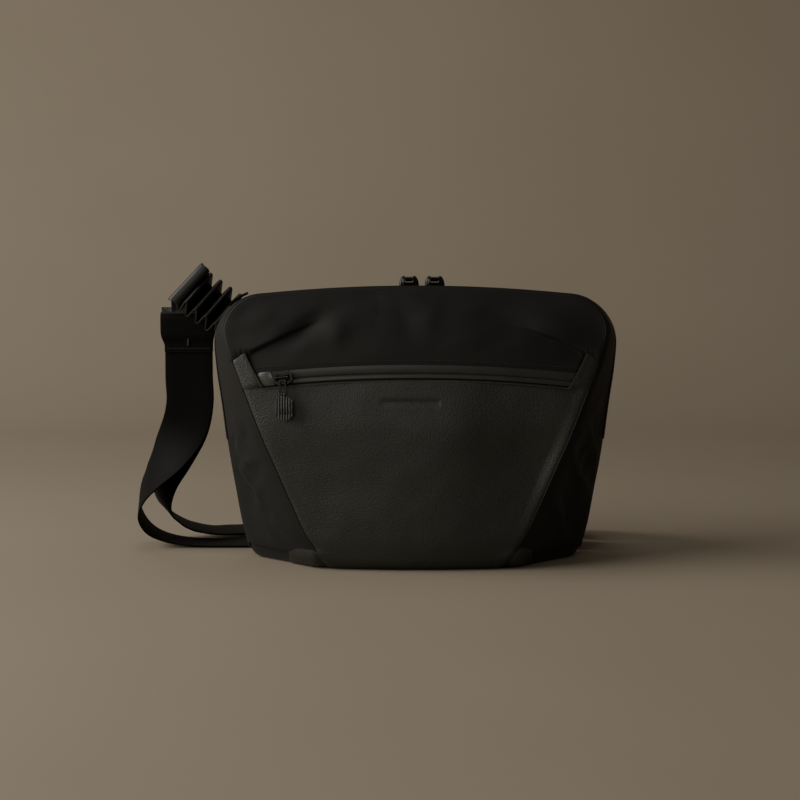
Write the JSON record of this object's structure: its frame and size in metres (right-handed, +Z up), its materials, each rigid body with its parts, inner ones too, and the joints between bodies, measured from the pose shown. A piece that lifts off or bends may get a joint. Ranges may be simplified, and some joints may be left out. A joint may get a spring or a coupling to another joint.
{
  "type": "sling bag",
  "caption": "Small sling bag, wide at the top, with a leather and nylon front, a main zip over the top, a front zip pocket and a webbing shoulder strap.",
  "frame": {"origin": "on the floor under the middle of the bag's box, the strap, its fittings and ring left out", "axes": "+Z up, the leather front faces -Y, +X to the right as seen from the front"},
  "size_m": [0.3878, 0.2316, 0.234],
  "materials": {
    "nylon": "matte black nylon twill",
    "leather": "pebbled black leather, low sheen",
    "lining": "dark grey woven lining over foam",
    "zip_tape": "black woven zip tape",
    "laminate": "smooth water-resistant laminate",
    "plastic": "black nylon coil and board",
    "pull_plastic": "moulded black pull, satin",
    "black_metal": "glossy black plated metal",
    "webbing": "black woven webbing"
  },
  "bodies": {
    "bag": {"back_panel": "nylon", "back_foam": "lining", "inner_slip_pocket": "lining", "base_panel": "nylon", "base_board": "plastic", "leather_lower": "leather", "front_foam_lower": "lining", "pocket_lower": "lining", "side_gusset_left": "nylon", "side_gusset_right": "nylon", "back_gusset": "nylon", "main_zip_tape_back": "zip_tape", "main_zip_coil_back": "plastic", "main_zip_stops": "black_metal", "left_anchor_tab": "webbing", "right_anchor_tab": "webbing", "strap_concertina": "webbing", "strap_tri_glide": "black_metal", "strap_end_loop": "webbing", "strap_run_near": "webbing", "strap_run_far": "webbing"},
    "front_flap": {"leather_upper": "leather", "front_fabric_panel": "nylon", "front_foam_upper": "lining", "pocket_upper": "lining", "front_zip_band": "laminate", "front_zip_coil": "plastic", "front_zip_stops": "black_metal", "front_zip_garage": "laminate", "front_gusset": "nylon", "main_zip_tape_front": "zip_tape", "main_zip_coil_front": "plastic"},
    "front_slider": {"front_slider": "black_metal"},
    "front_pull_link": {"front_pull_link": "black_metal"},
    "front_pull": {"front_pull": "pull_plastic"},
    "top_slider_left": {"top_slider_left": "black_metal"},
    "top_slider_right": {"top_slider_right": "black_metal"},
    "top_pull_left": {"top_pull_left": "black_metal"},
    "top_pull_right": {"top_pull_right": "black_metal"},
    "strap_ring": {"strap_ring": "black_metal", "strap_ring_turn": "webbing"}
  },
  "joints": [
    {"name": "mouth_open", "type": "hinge", "parent": "bag", "child": "front_flap", "pos_m": [0, -0.0455, 0.112], "axis": [1, 0, 0], "range_deg": [0, 26]},
    {"name": "top_slider_left_travel", "type": "hinge", "parent": "bag", "child": "top_slider_left", "pos_m": [0, 0.004, -1.1779], "axis": [0, -1, 0], "range_deg": [0, 4.3]},
    {"name": "top_slider_right_travel", "type": "hinge", "parent": "bag", "child": "top_slider_right", "pos_m": [0, 0.004, -1.1779], "axis": [0, 1, 0], "range_deg": [0, 3.8]},
    {"name": "top_pull_left_swing", "type": "hinge", "parent": "top_slider_left", "child": "top_pull_left", "pos_m": [-0.00502, 0.004, 0.22299], "axis": [1, 0, 0.0036], "range_deg": [0, 165]},
    {"name": "top_pull_right_swing", "type": "hinge", "parent": "top_slider_right", "child": "top_pull_right", "pos_m": [0.01506, 0.004, 0.22292], "axis": [0.9999, 0, -0.0108], "range_deg": [0, 165]},
    {"name": "front_slider_travel", "type": "hinge", "parent": "front_flap", "child": "front_slider", "pos_m": [0, 0.49362, -0.41355], "axis": [0, 0.7281, 0.6855], "range_deg": [0, 14.9]},
    {"name": "front_link_swing", "type": "hinge", "parent": "front_slider", "child": "front_pull_link", "pos_m": [-0.10194, -0.0421, 0.14981], "axis": [-0.9915, 0.0891, -0.0947], "range_deg": [0, 120]},
    {"name": "front_pull_swing", "type": "hinge", "parent": "front_pull_link", "child": "front_pull", "pos_m": [-0.10084, -0.04357, 0.13694], "axis": [-0.9915, 0.0891, -0.0947], "range_deg": [0, 55]},
    {"name": "strap_ring_swing", "type": "hinge", "parent": "bag", "child": "strap_ring", "pos_m": [0.126, 0.0503, 0.172], "axis": [1, 0, 0], "range_deg": [0, 30]}
  ],
  "couplings": [
    {"joint": "top_slider_left_travel", "follows": "mouth_open", "ratio": 0.165},
    {"joint": "top_slider_right_travel", "follows": "mouth_open", "ratio": 0.146}
  ]
}
